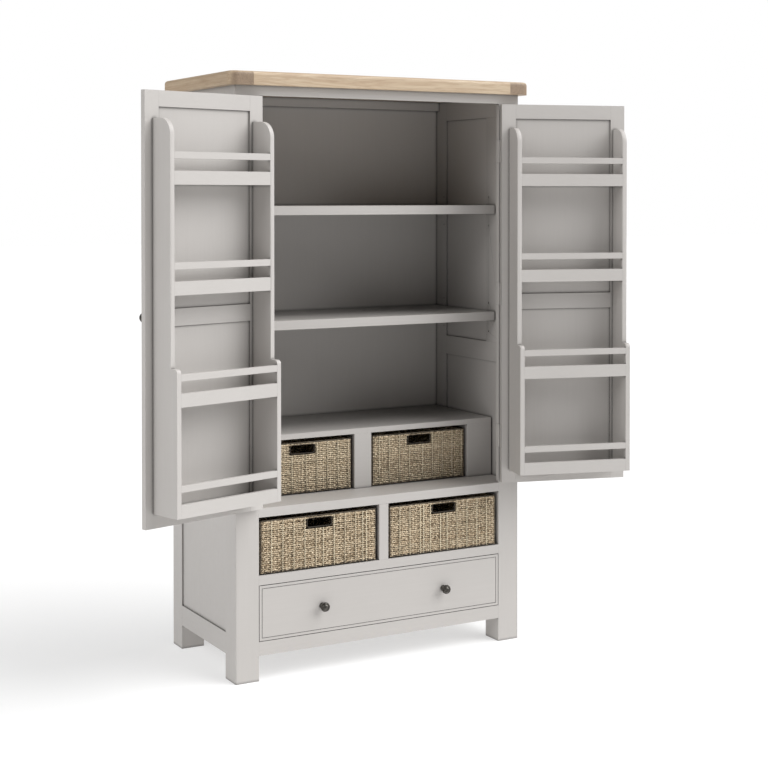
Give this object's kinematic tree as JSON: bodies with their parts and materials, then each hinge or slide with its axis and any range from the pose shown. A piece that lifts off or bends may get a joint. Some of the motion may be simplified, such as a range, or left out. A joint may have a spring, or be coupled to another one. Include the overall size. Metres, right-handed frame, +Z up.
{
  "type": "double door larder cabinet",
  "caption": "Tall painted larder cabinet with double doors carrying spice racks, shelves, woven baskets, a bottom drawer and an oak top.",
  "frame": {"origin": "on the floor, under the middle of the bounding box of the cabinet with both doors open", "axes": "+Z up, -Y out of the front, +X to the right seen from the front"},
  "size_m": [1.756, 0.7688, 1.905],
  "materials": {
    "grey_paint": "eggshell paint over wood",
    "oak": "clear oiled",
    "seagrass": "twisted and woven, natural",
    "pewter": "antique pewter",
    "steel": "brushed",
    "bare_pine": "bare, sanded"
  },
  "bodies": {
    "carcass": {"back_bottom_rail": "grey_paint", "back_panels": "grey_paint", "back_top_rail": "grey_paint", "basket_divider_post": "grey_paint", "basket_floor": "grey_paint", "basket_partitions": "grey_paint", "bottom_front_rail": "grey_paint", "bottom_panel": "grey_paint", "cabinet_floor": "grey_paint", "cubby_front_stiles": "grey_paint", "cubby_partitions": "grey_paint", "cubby_top": "grey_paint", "drawer_head_rail": "grey_paint", "drawer_runners": "bare_pine", "front_left_post": "grey_paint", "front_right_post": "grey_paint", "hinge_frame_leaves": "grey_paint", "hinge_pins": "steel", "left_side_panels": "grey_paint", "left_side_rails": "grey_paint", "lower_shelf": "grey_paint", "middle_front_rail": "grey_paint", "pin_strips": "grey_paint", "rear_left_post": "grey_paint", "rear_right_post": "grey_paint", "right_side_panels": "grey_paint", "right_side_rails": "grey_paint", "shelf_pins": "steel", "top_centre_panel": "oak", "top_end_caps": "oak", "top_front_rail": "grey_paint", "upper_shelf": "grey_paint"},
    "left_door": {"left_door_hinge_leaves": "grey_paint", "left_door_knob": "pewter", "left_door_panels": "grey_paint", "left_door_rails": "grey_paint", "left_door_stiles": "grey_paint", "left_rack_fronts": "grey_paint", "left_rack_shelves": "grey_paint", "left_rack_uprights": "grey_paint"},
    "right_door": {"right_door_hinge_leaves": "grey_paint", "right_door_knob": "pewter", "right_door_panels": "grey_paint", "right_door_rails": "grey_paint", "right_door_stiles": "grey_paint", "right_rack_fronts": "grey_paint", "right_rack_shelves": "grey_paint", "right_rack_uprights": "grey_paint"},
    "drawer": {"drawer_front": "grey_paint", "drawer_sides": "bare_pine", "drawer_back": "bare_pine", "drawer_bottom": "bare_pine", "drawer_knobs": "pewter"},
    "lower_left_basket": {"lower_left_basket": "seagrass"},
    "lower_right_basket": {"lower_right_basket": "seagrass"},
    "upper_left_basket": {"upper_left_basket": "seagrass"},
    "upper_right_basket": {"upper_right_basket": "seagrass"}
  },
  "joints": [
    {"name": "left_door_hinge", "type": "hinge", "parent": "carcass", "child": "left_door", "pos_m": [-0.448, -0.14263, 1.1865], "axis": [0, 0, -1], "range_deg": [-165, 8]},
    {"name": "right_door_hinge", "type": "hinge", "parent": "carcass", "child": "right_door", "pos_m": [0.448, -0.14263, 1.1865], "axis": [0, 0, 1], "range_deg": [-165, 8]},
    {"name": "drawer_slide", "type": "slide", "parent": "carcass", "child": "drawer", "axis": [0, -1, 0], "range_m": [0, 0.34]},
    {"name": "lower_left_basket_slide", "type": "slide", "parent": "carcass", "child": "lower_left_basket", "axis": [0, -1, 0], "range_m": [0, 0.36]},
    {"name": "lower_right_basket_slide", "type": "slide", "parent": "carcass", "child": "lower_right_basket", "axis": [0, -1, 0], "range_m": [0, 0.36]},
    {"name": "upper_left_basket_slide", "type": "slide", "parent": "carcass", "child": "upper_left_basket", "axis": [0, -1, 0], "range_m": [0, 0.28]},
    {"name": "upper_right_basket_slide", "type": "slide", "parent": "carcass", "child": "upper_right_basket", "axis": [0, -1, 0], "range_m": [0, 0.28]}
  ]
}
